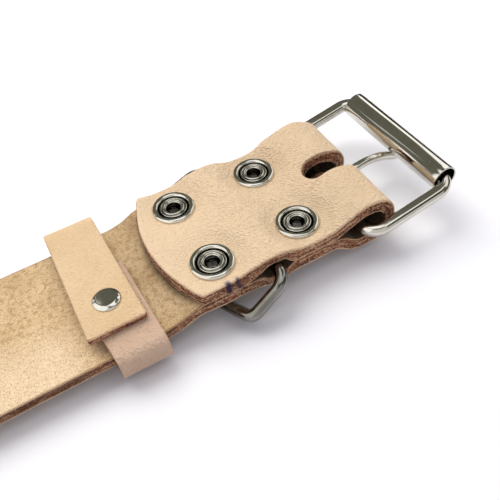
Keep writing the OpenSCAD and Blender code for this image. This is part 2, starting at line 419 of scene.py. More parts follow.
def grain_leather(name, light, deep, blush, shaded):
    """The smooth outer side of natural vegetable-tanned leather."""
    sh = Shader(name)
    flat = sh.mark("flat", "Vector")
    crease = sh.mark("crease")
    cloud = sh.noise(flat, 0.045, 3, 0.5)
    mottle = sh.noise(flat, 0.35, 4, 0.6)
    turned = sh.mapped(flat, turn=(0, 0, WRINKLE_TURN))
    wrinkle = sh.noise(sh.mapped(turned, WRINKLE_STRETCH), 1.35, 2, 0.4, 0.5)
    pebble = sh.cells(flat, 2.2)
    pores = sh.noise(flat, 6.0, 2, 0.5)
    base = sh.stained(light, (cloud, 0.3, 0.7, 1.0, deep), (mottle, 0.45, 0.75, 0.45, blush))
    # Painted shade: towards the shaded colour as the tone mark rises, on the keeper's lower band
    # and on the strap from the flap's end on.
    base = sh.mix(sh.mark("tone"), base, shaded)
    # Painted shade in the wrinkles' valleys, most where the grain is creased.
    painted_valley_shade = sh.math("MULTIPLY", sh.span(wrinkle, 0.52, 0.36, 0.0, 0.22), crease)
    base = sh.mix(painted_valley_shade, base, (196, 158, 108))
    base = sh.stained(base, (pores, 0.64, 0.78, 0.16, (160, 118, 82)),
                      (sh.mark("rim"), 0.5, 0.0, 0.35, (188, 140, 102)))
    base = sh.mix(sh.mark("ink"), base, (62, 50, 80))
    folds = sh.math("MULTIPLY", wrinkle, sh.math("MULTIPLY_ADD", crease, 0.85, 0.12))
    sh.bump(1.0, 0.75, folds, (pebble, 0.45), (pores, 0.12))
    return sh.finished(Base_Color=base, Roughness=sh.span(mottle, 0.3, 0.7, 0.46, 0.6),
                       Sheen_Weight=0.05)


def flesh_leather(name, light, deep, fibre):
    """The rough inner side of the leather, with its fibres."""
    sh = Shader(name)
    flat = sh.mark("flat", "Vector")
    tone = sh.mark("tone")
    cloud = sh.noise(flat, 0.08, 4, 0.6)
    mottle = sh.noise(flat, 0.7, 5, 0.7, 0.4)
    strands = sh.noise(sh.mapped(flat, (1.0, 0.4, 1.0), (0, 0, 0.5)), 2.6, 3, 0.65, 0.8)
    crossing = sh.noise(sh.mapped(flat, (0.4, 1.0, 1.0), (0, 0, 0.25)), 2.4, 3, 0.65, 0.7)
    speck = sh.noise(flat, 2.6, 4, 0.75)
    base = sh.stained(light,
                      (cloud, 0.38, 0.66, 1.0, deep),
                      (mottle, 0.46, 0.64, 0.7, fibre),
                      (strands, 0.54, 0.7, 0.5, fibre),
                      (crossing, 0.56, 0.72, 0.5, (238, 216, 180)),
                      (tone, 0.0, -0.7, 0.75, (250, 226, 190)),
                      (speck, 0.49, 0.68, 0.8, (150, 108, 66)),
                      (speck, 0.44, 0.32, 0.5, (252, 230, 194)))
    # Painted shade: the flesh goes near black as the tone mark rises, under the flap, by its end,
    # in the fold and on the keeper's lower band.
    painted_fold_shade = sh.math("MULTIPLY", tone, sh.span(speck, 0.25, 0.6, 1.15, 0.8))
    base = sh.mix(painted_fold_shade, base, (42, 27, 16))
    base = sh.stained(base, (sh.mark("rim"), 0.7, 0.0, 0.5, (132, 92, 60)))
    sh.bump(0.9, 0.3, strands, (crossing, 0.8), (speck, 0.9), (mottle, 1.2))
    return sh.finished(Base_Color=base, Roughness=sh.span(speck, 0.3, 0.7, 0.85, 0.97),
                       Specular_IOR_Level=0.12, Sheen_Weight=0.04, Sheen_Roughness=0.6)


def cut_leather(name, dark, middle, pale):
    """The cut edge of the leather: reddish fibres between two pale skins."""
    sh = Shader(name)
    place = sh.mark("flat", "Vector")
    fibres = sh.noise(place, 1.7, 3, 0.7, 0.4)
    clumps = sh.noise(place, 0.6, 3, 0.6)
    layers = sh.noise(sh.mapped(place, (0.16, 0.16, 1.5)), 1.0, 3, 0.65, 0.5)
    specks = sh.noise(sh.mapped(place, turn=(0.4, 0.1, 0.9)), 2.0, 2, 0.6)
    from_middle = sh.math("ABSOLUTE", sh.mark("through"))
    ragged_skin = sh.math("MULTIPLY_ADD", clumps, 0.24, from_middle)
    base = sh.stained(dark,
                      (clumps, 0.38, 0.62, 1.0, middle),
                      (layers, 0.52, 0.62, 0.65, pale),
                      (layers, 0.48, 0.38, 0.85, (62, 30, 18)),
                      (fibres, 0.52, 0.66, 0.8, pale),
                      (specks, 0.53, 0.64, 0.8, (64, 32, 20)),
                      # Painted shade on the near cut edge towards the tail, where the tone mark
                      # is below zero.
                      (sh.mark("tone"), 0.0, -0.4, 0.6, (84, 48, 28)),
                      (ragged_skin, 0.96, 1.08, 0.85, pale))
    base = sh.mix(sh.mark("ink"), base, (44, 36, 60))
    sh.bump(1.0, 0.4, fibres, (specks, 0.6), (layers, 1.2))
    return sh.finished(Base_Color=base, Roughness=sh.span(specks, 0.3, 0.7, 0.72, 0.92),
                       Specular_IOR_Level=0.2)


def polished_metal(name, colour, tint, rough_low, rough_high, scratch):
    """Plated metal with a little clouding, hairline scratches and handling wear."""
    sh = Shader(name)
    place = sh.coordinates()
    cloud = sh.noise(place, 180, 4, 0.6)
    fine = sh.noise(place, 2600, 3, 0.6)
    hair_a = sh.noise(sh.mapped(place, (1.0, 0.04, 1.0), (0.3, 0.2, 0.7)), 5200, 2, 0.5)
    hair_b = sh.noise(sh.mapped(place, (0.05, 1.0, 0.6), (0.1, 0.5, 0.2)), 4700, 2, 0.5)
    hairs = sh.math("ADD", sh.span(hair_a, 0.62, 0.72, 0, 1), sh.span(hair_b, 0.64, 0.74, 0, 1))
    base = sh.stained(colour, (cloud, 0.35, 0.7, 1.0, tint),
                      (fine, 0.66, 0.8, 0.35, (120, 112, 92)))
    # Near black where the mesh's mark says so: dirt and painted shade in the eyelets' grooves,
    # painted shade down their holes.
    base = sh.mix(sh.mark("dirt_and_painted_shade"), base, (34, 30, 24))
    rough = sh.span(cloud, 0.3, 0.75, rough_low, rough_high)
    sh.bump(scratch, 0.012, sh.math("MULTIPLY", fine, 0.35), (hairs, -0.5))
    return sh.finished(Base_Color=base, Metallic=1.0,
                       Roughness=sh.math("MULTIPLY_ADD", hairs, 0.08, rough))


STRAP_SKINS = [
    grain_leather("strap_grain", (227, 206, 173), (222, 197, 159), (227, 200, 164),
                  (214, 188, 152)),
    flesh_leather("strap_flesh", (228, 199, 154), (207, 176, 130), (168, 136, 90)),
    cut_leather("strap_cut", (116, 66, 44), (164, 106, 72), (238, 200, 160)),
]
KEEPER_SKINS = [
    grain_leather("keeper_grain", (215, 187, 145), (205, 174, 131), (213, 178, 143),
                  (190, 160, 138)),
    flesh_leather("keeper_flesh", (216, 184, 148), (196, 162, 126), (160, 128, 94)),
    cut_leather("keeper_cut", (122, 58, 42), (172, 102, 76), (238, 196, 162)),
]
NICKEL = polished_metal("nickel_plate", (214, 211, 203), (204, 199, 188), 0.055, 0.11, 0.25)
NICKEL_BRUSHED = polished_metal("nickel_pressed", (206, 203, 196), (190, 186, 176), 0.1, 0.2, 0.5)
# The ring's nickel is the plate's nickel made darker: a painted dark reflection, standing in for
# the dark surroundings it mirrors.
RING_NICKEL_PAINTED_DARK = polished_metal("ring_nickel_painted_dark", (138, 136, 131), (120, 117, 110), 0.07, 0.14, 0.3)
SPRING_STEEL = polished_metal("spring_steel", (132, 132, 134), (112, 110, 108), 0.2, 0.34, 0.6)


# ---- sheets of leather

EDGE_ROUND_GRAIN = 0.42
EDGE_ROUND_FLESH = 0.22
INSETS = (0.0, 0.07, 0.2, 0.45)
WALL_LEVELS = np.linspace(1, -1, 9)
BED_WALL = 0.06
BED_STEPS = 48
BED_CLEAR = 0.35
CLEAR_OF_CUTS = 9.0
DENT_FADE = 0.6


def inset_loop(loop, distance):
    """A closed loop of points moved to the left of its direction."""
    ahead = np.roll(loop, -1, 0) - np.roll(loop, 1, 0)
    ahead /= np.linalg.norm(ahead, axis=1)[:, None]
    return loop + distance * np.c_[-ahead[:, 1], ahead[:, 0]]


def inside_any(points, loops):
    """Whether each point lies in one of the closed loops."""
    found = np.zeros(len(points), bool)
    for loop in loops:
        near = (points > loop.min(0)).all(1) & (points < loop.max(0)).all(1)
        if not near.any():
            continue
        tested = points[near]
        a, b = loop, np.roll(loop, -1, 0)
        above = (a[None, :, 1] > tested[:, 1:]) != (b[None, :, 1] > tested[:, 1:])
        rise = np.where(np.abs(b[:, 1] - a[:, 1]) < 1e-12, 1e-12, b[:, 1] - a[:, 1])
        cross = a[None, :, 0] + (tested[:, 1:] - a[None, :, 1]) * ((b - a)[:, 0] / rise)[None]
        odd = ((tested[:, :1] < cross) & above).sum(1) % 2 == 1
        found[near] |= odd
    return found


SHEET_PARTS = "outline holes middle thickness side fill beds dents swell"
SHEET_DEFAULTS = ((), (), lambda flat: 0.0)


class LeatherSheet(namedtuple("LeatherSheet", SHEET_PARTS, defaults=SHEET_DEFAULTS)):
    """A sheet of leather cut flat to an outline with holes, then bent into shape.
    middle(s, v) gives the place of the leather's middle for flat points. side is the side of
    the flat sheet, 1 or -1, on which the grain lies. fill lists flat points between the cuts as
    (s, v, spacing). beds are (centre, radius, depth) steps in the flesh side, and dents the same
    in the grain. swell(flat) tells how far the flesh side stands proud."""

    def raised(self, flat, height):
        """Places at a height from the leather's middle, towards the grain."""
        step = 0.04
        s, v = flat[:, 0], flat[:, 1]
        along = self.middle(s + step, v) - self.middle(s - step, v)
        across = self.middle(s, v + step) - self.middle(s, v - step)
        normal = np.cross(along, across) * self.side
        normal /= np.linalg.norm(normal, axis=1)[:, None]
        return self.middle(s, v) + normal * height[:, None]

    def flat_points(self):
        """The flat points, how far each is from the cuts, and the first point and length of
        each cut: rings inside every cut, then rings at the beds' walls, then the fill."""
        parts, rims, cuts = [], [], []
        loops = [self.outline] + self.holes
        for loop in loops:
            cuts.append((sum(map(len, parts)), len(loop)))
            parts += [inset_loop(loop, inset) for inset in INSETS]
            rims += [np.full(len(loop), inset) for inset in INSETS]
        for centre, radius, _ in self.beds:
            for r in (radius - BED_WALL, radius + BED_WALL):
                parts.append(centre + ring_section(r, BED_STEPS))
                rims.append(np.full(BED_STEPS, CLEAR_OF_CUTS))
        cut_points = np.concatenate(loops)
        tree = kdtree.KDTree(len(cut_points))
        for k, point in enumerate(cut_points):
            tree.insert((*point, 0), k)
        tree.balance()
        for s, v, spacing in self.fill:
            distance = tree.find((s, v, 0))[2]
            at_bed = any(abs(math.hypot(s - centre[0], v - centre[1]) - radius) < BED_CLEAR
                         for centre, radius, _ in self.beds)
            if distance >= INSETS[-1] + spacing * 0.6 and not at_bed:
                parts.append([(s, v)])
                rims.append([distance])
        return np.concatenate(parts), np.concatenate(rims), cuts

    def triangles(self, flat, cuts):
        """Triangles over the leather between its cuts, counterclockwise."""
        edges = [(first + i, first + (i + 1) % size) for first, size in cuts for i in range(size)]
        made = geometry.delaunay_2d_cdt([Vector(p) for p in flat], edges, [], 1, 1e-7)
        source = np.array([ids[0] if ids else -1 for ids in made[3]])
        found = source[np.array([face for face in made[2] if len(face) == 3])]
        found = found[(found >= 0).all(1)]
        centres = flat[found].mean(1)
        found = found[inside_any(centres, [self.outline]) & ~inside_any(centres, self.holes)]
        a, b, c = (flat[found[:, k]] for k in range(3))
        area = (b - a)[:, 0] * (c - a)[:, 1] - (b - a)[:, 1] * (c - a)[:, 0]
        found[area < 0] = found[area < 0][:, ::-1]
        return found[np.abs(area) > 1e-9]

    def build(self, name, skins, marks, fray, body, node, finish):
        """The bent sheet as a mesh piece. marks are functions of the flat points, written as
        attributes, and fray is how far the cut fibres stand out."""
        flat, rim, cuts = self.flat_points()
        triangles = self.triangles(flat, cuts)[:, ::self.side]
        count = len(flat)
        half = self.thickness / 2
        wave = fractal(flat, 0.07, 3) * 0.1 + fractal(flat, 0.3, 5) * 0.025
        rough = fractal(flat, 0.9, 7) * 0.05
        grain_drop = rounding(rim, EDGE_ROUND_GRAIN)
        flesh_drop = rounding(rim, EDGE_ROUND_FLESH)
        for centre, radius, depth in self.beds:
            far = np.linalg.norm(flat - centre, axis=1)
            flesh_drop = np.where(far < radius, depth, flesh_drop)
        for centre, radius, depth in self.dents:
            far = np.linalg.norm(flat - centre, axis=1)
            grain_drop += depth * smooth_step(radius, radius - DENT_FADE, far)
        grain = half - grain_drop + wave
        flesh = -half + flesh_drop + wave + rough - self.swell(flat)
        faces = triangles.tolist() + (count + triangles[:, ::-1]).tolist()
        slots = [0] * len(triangles) + [1] * len(triangles)
        layers = [(flat, grain, rim, 1), (flat, flesh, rim, -1)]
        total = 2 * count
        for index, (first, size) in enumerate(cuts):
            top = np.arange(first, first + size)
            loop = flat[top]
            outward = inset_loop(loop, -1.0) - loop
            rows = [top]
            for level in WALL_LEVELS[1:-1]:
                share = (1 - level) / 2
                fibre = np.c_[loop, np.full(size, level * 2.2 + index * 9)]
                push = fractal(fibre, 0.5, 11) * 0.6 + fractal(fibre, 1.7, 13)
                push *= fray * (1 - level ** 4)
                height = grain[top] * (1 - share) + flesh[top] * share
                layers.append((loop + outward * push[:, None], height, 0, level))
                rows.append(np.arange(total, total + size))
                total += size
            rows.append(count + top)
            for upper, lower in zip(rows, rows[1:]):
                quads = np.c_[upper, lower, np.roll(lower, -1), np.roll(upper, -1)]
                faces += quads[:, ::self.side].tolist()
                slots += [2] * size
        points = np.concatenate([self.raised(flat, height) for flat, height, _, _ in layers])
        points[:, 2] = np.maximum(points[:, 2], 0)
        obj = mesh_piece(name, points, faces, skins, body, node, slots)
        flats = np.concatenate([layer[0] for layer in layers])
        rims, through = (np.concatenate([np.full(len(layer[0]), layer[k]) for layer in layers])
                         for k in (2, 3))
        write_attribute(obj, "flat", np.c_[flats, through * half])
        write_attribute(obj, "rim", rims)
        write_attribute(obj, "through", through)
        for key, mark in marks.items():
            write_attribute(obj, key, mark(flats))


def rounding(distance, radius):
    """How far a rounded edge has dropped, at a distance in from the cut."""
    left = radius - np.clip(distance, 0, radius)
    return radius - np.sqrt(radius ** 2 - left ** 2)


def hole_loop(centre, radius, steps=40):
    """A round hole's cut, clockwise, so that its left is inside the leather."""
    return np.array(centre) + ring_section(radius, steps)[::-1]


def even_loop(points, spacing_at):
    """A closed outline through the given dense points, with even steps of the wanted size."""
    closed = np.concatenate([points, points[:1]])
    length = lengths_along(closed)
    places = [0.0]
    while True:
        here = np.array([np.interp(places[-1], length, closed[:, k]) for k in (0, 1)])
        step = spacing_at(here[0])
        if places[-1] + step * 1.4 > length[-1]:
            break
        places.append(places[-1] + step)
    return np.stack([np.interp(places, length, closed[:, k]) for k in (0, 1)], 1)


# ---- the strap

OVERRUN = 6.0
LOW = HALF_T
CARRY_MID = 4.5 + HALF_T
PAIR_MID = [under + HALF_T for under in LOWER_UNDER]
LOWER_RUN = [
    (TAIL_U - OVERRUN, LOW, 0), (-270, LOW, 400), (-200, CARRY_MID, 400),
    (-17.5, CARRY_MID, 12), (-8, PAIR_MID[0], 12), (8.4, PAIR_MID[0], 5),
    (11.8, 5.3 + HALF_T, 5), (16.2, 5.3 + HALF_T, 5), (18.2, PAIR_MID[1], 5),
    (33.5, PAIR_MID[1], 5), (38.5, 2.0 + HALF_T, 5),
]
# The fold and the flap along the strap's near edge, then along its far edge
NEAR_RUN = LOWER_RUN + [
    (49.8, 3.6, 5.5), (49.8, 15.3, 5.5), (41.2, 15.8, 7), (31.5, 11.9, 9), (21.5, 12.2, 10),
    (13.7, 14.8, 12), (2.5, 12.6, 14), (FLAP_END_U - OVERRUN, 12.6, 0),
]
FAR_RUN = LOWER_RUN + [
    (50.6, 3.6, 5.0), (50.9, 13.2, 4.9), (43.0, 17.1, 7), (28.0, 12.9, 12), (21.5, 12.9, 12),
    (13.7, 14.7, 12), (1.5, 13.2, 14), (FLAP_END_U - OVERRUN, 14.0, 0),
]
PATH_STEP = 0.2
SOFTEN = 9


def strap_paths():
    """The flat distance s and the (u, z) line of both edges of the strap, on one grid of s."""
    near, far = rounded_run(NEAR_RUN), rounded_run(FAR_RUN)
    along = lengths_along((near + far) / 2) - OVERRUN
    grid = np.arange(along[0], along[-1], PATH_STEP)
    lines = [np.stack([softened(np.interp(grid, along, run[:, k]), SOFTEN) for k in (0, 1)], 1)
             for run in (near, far)]
    return grid, lines[0], lines[1]


PATH_S, PATH_NEAR, PATH_FAR = strap_paths()
PATH_MID_U = (PATH_NEAR[:, 0] + PATH_FAR[:, 0]) / 2
TURN_AT = int(PATH_MID_U.argmax())


def between_edges(v, near, far):
    """Values at v across the strap, mixed from those of its near and its far edge."""
    share = (v + HALF_W) / STRAP_W
    return near * (1 - share) + far * share


LOWER, FLAP = slice(0, TURN_AT), slice(None, TURN_AT, -1)


def s_at(u, layer, v=0.0):
    """Distance along the leather to the place (u, v) on the lower layer or on the flap."""
    line = between_edges(v, PATH_NEAR[layer, 0], PATH_FAR[layer, 0])
    return float(np.interp(u, line, PATH_S[layer]))


S_TURN = float(PATH_S[TURN_AT])
STUD_PLACES = [(axis[0] - FIRST_PAIR_X, axis[1], 0 if k < 2 else 1)
               for k, axis in enumerate(STUD_AXES)]
SEAT_R = 5.8
SEAT_FADE = 6.0


def strap_middle(s, v):
    """The place of the leather's middle for flat points of the strap."""
    u, z = (between_edges(v, np.interp(s, PATH_S, PATH_NEAR[:, k]),
                          np.interp(s, PATH_S, PATH_FAR[:, k])) for k in (0, 1))
    on_flap = s > S_TURN
    beside_studs = smooth_step(12.5, 19.5, np.abs(v))
    at_studs = np.maximum(plateau(u, -14, -8, 2, 7), plateau(u, 18.5, 22, 28, 33))
    # Beside the studs the layers close up towards the strap's edges
    closing = np.where(on_flap, -0.1, np.where(v > 0, 1.3, 0.75))
    z = z + closing * at_studs * beside_studs
    for stud_u, stud_y, pair in STUD_PLACES:
        seat = np.where(on_flap, FLAP_TOP[pair] - HALF_T, PAIR_MID[pair])
        away = np.hypot(u - stud_u, v - stud_y)
        hold = smooth_step(SEAT_R + SEAT_FADE, SEAT_R, away)
        z = z * (1 - hold) + seat * hold
    return np.c_[u + FIRST_PAIR_X, v, z]


FINE_FROM_S = s_at(-62, LOWER)
CUT_STEP = 0.45
COARSE_STEP = 1.1


def strap_outline():
    """The flat cut of the strap, counterclockwise: near side, flap's arc, far side, tail tip."""
    apex = s_at(FLAP_END_U, FLAP)
    corner = 0.5
    side_s = apex - (FLAP_ARC_R - math.sqrt(FLAP_ARC_R ** 2 - HALF_W ** 2)) - corner * 0.6
    tip_l = math.sqrt(TIP_ARC_R ** 2 - (TIP_ARC_R - HALF_W) ** 2)
    v_arc = np.linspace(-HALF_W + corner, HALF_W - corner, 160)
    arc = np.c_[apex - FLAP_ARC_R + np.sqrt(FLAP_ARC_R ** 2 - v_arc ** 2), v_arc]
    s_tip = np.linspace(tip_l, 0, 60)
    v_tip = (HALF_W - TIP_ARC_R) + np.sqrt(TIP_ARC_R ** 2 - (tip_l - s_tip) ** 2)
    far_tip = np.c_[s_tip, v_tip]
    near_tip = far_tip[::-1][1:] * (1, -1)
    dense = np.concatenate([near_tip, [(side_s, -HALF_W)], arc, [(side_s, HALF_W)], far_tip[:-1]])
    return even_loop(dense, lambda s: COARSE_STEP if s < FINE_FROM_S else CUT_STEP)


def slot_loop():
    """The prong's slot, cut flat across the fold with two round ends, clockwise."""
    r = SLOT_W / 2
    start, end = s_at(SLOT_END_U - SLOT_RUN_ON + r, LOWER), s_at(SLOT_END_U + r, FLAP)
    circle = ring_section(r, 40)
    first = circle[10:31] + (start, SLOT_Y)
    last = np.roll(circle, 10, 0)[:21] + (end, SLOT_Y)
    return even_loop(np.concatenate([first, last]), lambda s: CUT_STEP)[::-1]


def fill_grid(s_low, s_high, v_half, spacing):
    """Even flat points, each with their spacing, over a stretch of leather."""
    columns = np.arange(s_low, s_high, spacing)
    rows = np.arange(-v_half, v_half + 1e-6, v_half * 2 / round(v_half * 2 / spacing))
    return [(s, v, spacing) for s in columns for v in rows]


def strap_fill():
    """Flat points between the strap's cuts, sparse along the tail and dense round the fold."""
    end = s_at(FLAP_END_U, FLAP)
    return fill_grid(1.2, FINE_FROM_S, HALF_W - 1, 2.0) + \
        fill_grid(FINE_FROM_S + 0.7, end - 0.5, HALF_W - 0.8, 0.62)


SWELL = 0.7


def height_at(u, layer, v):
    """The height of the leather's middle at (u, v) on the lower layer or on the flap."""
    near, far = (np.interp(u, run[layer, 0], run[layer, 1]) for run in (PATH_NEAR, PATH_FAR))
    return between_edges(v, near, far)


def past_flap_end(u, v):
    """How far u lies past the flap's rounded end, towards the buckle."""
    v = np.clip(v, -HALF_W, HALF_W)
    return u - FLAP_END_U - FLAP_ARC_R + np.sqrt(FLAP_ARC_R ** 2 - v ** 2)


def strap_swell(flat):
    """How far the leather's soft flesh side stands proud of the CAD's even thickness."""
    s, v = flat[:, 0], flat[:, 1]
    place = strap_middle(s, v)
    u = place[:, 0] - FIRST_PAIR_X
    other = np.where(s > S_TURN, height_at(u, LOWER, v), height_at(u, FLAP, v))
    gap = np.abs(other - place[:, 2]) - LEATHER_T
    covered = smooth_step(-1.5, 1.0, past_flap_end(u, v))
    at_ring = plateau(u, 9, 11.4, 16.8, 19.5)
    shut = np.clip(gap / 2 - 0.04, 0, SWELL) * (1 - at_ring)
    free = 0.12 + 0.14 * smooth_step(-60, -40, u)
    return free * (1 - covered) + (shut - 0.25 * at_ring) * covered


INK_MARKS = ((0.2, 0.65), (2.7, 0.45))


def strap_crease(flat):
    """How wrinkled the grain is: smooth towards the flap's end, finely creased at the fold."""
    from_end = s_at(FLAP_END_U, FLAP) - flat[:, 0]
    return 0.25 + 0.75 * plateau(from_end, 10, 34, 150, 330)


def strap_ink(flat):
    """Two small ink marks, left from marking out, on the flap's near edge."""
    found = np.zeros(len(flat))
    ragged = fractal(flat, 1.4, 21) * 0.3
    for u, size in INK_MARKS:
        away = np.hypot(flat[:, 0] - s_at(u, FLAP, -HALF_W), (flat[:, 1] + HALF_W) * 1.3)
        found = np.maximum(found, smooth_step(size + 0.5, size - 0.3, away + ragged))
    return found


def strap_painted_shade(flat):
    """How much shade is painted on the leather: a little all over, more beside the flap's end,
    most from the flap's end on, under the flap and on it, and a little more in the fold. Below
    zero it is paler, on the near side towards the tail.
    """
    s, v = flat[:, 0], flat[:, 1]
    past = past_flap_end(strap_middle(s, v)[:, 0] - FIRST_PAIR_X, v)
    fold = plateau(s, s_at(27, LOWER), s_at(38, LOWER), s_at(36, FLAP), s_at(26, FLAP))
    pale = smooth_step(6, -12, v) * smooth_step(s_at(-30, LOWER), s_at(-44, LOWER), s)
    return 0.06 + 0.18 * smooth_step(-12, -1, past) + 0.7 * smooth_step(-1.4, 1.4, past) \
        + 0.06 * fold - 0.55 * pale


def make_strap():
    """The strap. Each stud goes through it twice, in the lower layer and in the flap."""
    studs = [(u, v) for u, v, _ in STUD_PLACES]
    holes = [slot_loop()]
    for u, v in studs:
        holes.append(hole_loop((s_at(u, LOWER, v), v), LOWER_BORE_R))
        holes.append(hole_loop((s_at(u, FLAP, v), v), FLAP_BORE_R))
    for k in range(HOLE_COUNT):
        holes.append(hole_loop((FIRST_HOLE + k * HOLE_PITCH, 0), HOLE_D / 2))
    beds = [((s_at(u, layer, v), v), SNAP_PLATE_R, BED_DEPTH) for u, v in studs
            for layer in (LOWER, FLAP)]
    dents = [((s_at(u, FLAP, v), v), DENT_R, DENT_DEPTH) for u, v in studs]
    sheet = LeatherSheet(strap_outline(), holes, strap_middle, LEATHER_T, -1, strap_fill(), beds,
                         dents, strap_swell)
    marks = {"crease": strap_crease, "ink": strap_ink, "tone": strap_painted_shade}
    sheet.build("collar_strap", STRAP_SKINS, marks, STRAP_FRAY, "collar", "strap",
                "strap_leather")


# ---- the keeper

KEEPER_INNER_Z = 9.85
KEEPER_OUTER_Z = 12.0
KEEPER_RUN = [
    (5, KEEPER_INNER_Z, 0), (-14, KEEPER_INNER_Z, 8), (-23.3, KEEPER_INNER_Z - 0.6, 2.2),
    (-23.3, 3.15, 2.2), (24.2, 3.15, 2.4), (24.2, KEEPER_OUTER_Z, 3), (-16, KEEPER_OUTER_Z, 0),
]
# Where the band's two edges lie at each corner of its run, from the first pair of studs
KEEPER_LEFT = (-33.2, -32.6, -31.8, -31.7, -34.2, -34.3, -35.7)
KEEPER_RIGHT = (-19.0, -18.8, -18.6, -18.5, -20.3, -20.5, -20.3)
KEEPER_HALF_W = 7.3


def keeper_path():
    """The band's middle line, the distance along it, and that distance at each corner."""
    run = rounded_run(KEEPER_RUN)
    along = lengths_along(run)
    near = [along[int(np.linalg.norm(run - corner[:2], axis=1).argmin())]
            for corner in KEEPER_RUN]
    return run, along, [0.0, *near[1:-1], along[-1]]


KEEPER_LINE, KEEPER_S, KEEPER_CORNER_S = keeper_path()
KEEPER_L = KEEPER_S[-1]


def keeper_edges(s):
    return [np.interp(s, KEEPER_CORNER_S, edge) + FIRST_PAIR_X
            for edge in (KEEPER_LEFT, KEEPER_RIGHT)]


def keeper_middle(s, v):
    """The place of the leather's middle for flat points of the keeper."""
    y, z = (np.interp(s, KEEPER_S, KEEPER_LINE[:, k]) for k in (0, 1))
    y = y - np.minimum(s, 0) - np.maximum(s - KEEPER_L, 0)
    left, right = keeper_edges(s)
    share = (v + KEEPER_HALF_W) / (2 * KEEPER_HALF_W)
    return np.c_[left * (1 - share) + right * share, y, z]


def rivet_hole(s_low, s_high):
    """The cut of the rivet's hole in one of the band's two overlapping ends."""
    places = np.linspace(s_low, s_high, 601)
    line_y = np.interp(places, KEEPER_S, KEEPER_LINE[:, 0])
    s = places[int(np.abs(line_y - RIVET[1]).argmin())]
    left, right = keeper_edges(s)
    v = ((RIVET[0] - left) / (right - left) * 2 - 1) * KEEPER_HALF_W
    return hole_loop((s, v), RIVET_BORE_R, 32)


def make_keeper():
    """The keeper, a band whose two ends overlap on top, where the rivet goes through them."""
    corners = np.array([(0, -1), (1, -1), (1, 1), (0, 1)]) * (KEEPER_L, KEEPER_HALF_W)
    dense = []
    for corner, before, after in zip(corners, np.roll(corners, 1, 0), np.roll(corners, -1, 0)):
        dense += [corner + unit(before - corner) * 0.5, corner + unit(after - corner) * 0.5]
    outline = even_loop(np.array(dense), lambda s: CUT_STEP)
    holes = [rivet_hole(0, 30), rivet_hole(KEEPER_L - 60, KEEPER_L)]
    fill = [(s + 0.6, v, spacing) for s, v, spacing in
            fill_grid(0, KEEPER_L, KEEPER_HALF_W - 0.8, 0.6)]
    sheet = LeatherSheet(outline, holes, keeper_middle, KEEPER_T, 1, fill)
    marks = {"crease": lambda flat: np.full(len(flat), KEEPER_CREASE),
             "ink": lambda flat: np.zeros(len(flat)),
             # The keeper's tone paints shade on its lower band.
             "tone": lambda flat: smooth_step(44, 30, flat[:, 0]) * 0.8}
    sheet.build("keeper_band", KEEPER_SKINS, marks, KEEPER_FRAY, "keeper", "keeper_loop",
                "keeper_leather")


# ---- the keeper's rivet and the press studs

def metal_piece(name, points, faces, body, node, material=NICKEL):
    return mesh_piece(name, points, faces, [material], body, node)


def turned_piece(name, profile, origin, body, node, material, steps=64):
    """A lathed part on a vertical axis, replacing its CAD node."""
    points, faces = lathe(profile, steps)
    return metal_piece(name, points + origin, faces, body, node, material)


def make_rivet():
    """The keeper's rivet: a cap with its pin, and a base with its tube."""
    low, high = node_box("keeper_rivet_cap")
    radius = (high[0] - low[0]) / 2
    seat = high[2] - 1.0
    pin = low[2] - seat
    rim = [(0.66, 1.0), (0.71, 0.985), (0.745, 0.94), (0.9, 0.62), (0.965, 0.42), (1, 0.16),
           (0.995, 0.02), (0.96, -0.1), (0.8, -0.14)]
    cap = [(0, 1.0), *((radius * r, z) for r, z in rim), (1.0, -0.1), (1.0, pin), (0.8, pin),
           (0, pin)]
    turned_piece("rivet_cap", cap, (*RIVET[:2], seat), "keeper", "keeper_rivet_cap", NICKEL)
    low, high = node_box("keeper_rivet_base")
    height = high[2] - low[2]
    head = 0.75
    rim = [(0.8, 0.0), (0.95, 0.1), (1, 0.3), (0.97, head - 0.1), (0.9, head)]
    base = [(0, 0.0), *((radius * r, z) for r, z in rim), (1.6, head), (1.6, height),
            (1.5, height), (1.1, height), (1.1, head), (0, head)]
    turned_piece("rivet_base", base, (*RIVET[:2], low[2]), "keeper", "keeper_rivet_base",
                 NICKEL_BRUSHED)


def eyelet_profile():
    """The stud's eyelet: a rolled outer rim, a groove, a beaded inner ring and the barrel."""
    profile = circle_arc(5.1, 0.1, 0.84, -60, 190, 22)
    profile += [(4.2, -0.28), (4.05, -0.36), (3.9, -0.3), (3.84, -0.1)]
    profile += circle_arc(3.5, 0.2, 0.32, 170, 30, 6)
    profile += [(3.19, 0.26), (3.1, 0.3)]
    profile += circle_arc(2.72, 0.42, 0.38, 150, 20, 8)
    profile += circle_arc(2.32, 0.22, 0.27, 40, 175, 5)[1:]
    profile += [(2.02, -0.1), (1.98, -0.8), (1.98, -3.8), (2.4, -3.8), (2.4, -0.6)]
    profile += [(3.2, -0.5), (4.3, -0.5)]
    return profile


def eyelet_dirt_and_painted_shade(radius, height):
    """Dirt and painted shade in the eyelet's groove, a fine dark line on its inner ring, and
    painted shade down its hole.
    """
    groove = smooth_step(0.42, 0.2, np.abs(radius - 4.06)) * smooth_step(0.2, -0.1, height)
    line = smooth_step(0.12, 0.03, np.abs(radius - 3.13)) * 0.6
    hole = smooth_step(-0.1, -0.9, height) * smooth_step(2.6, 2.2, radius)
    return np.maximum(np.maximum(groove, line), hole)


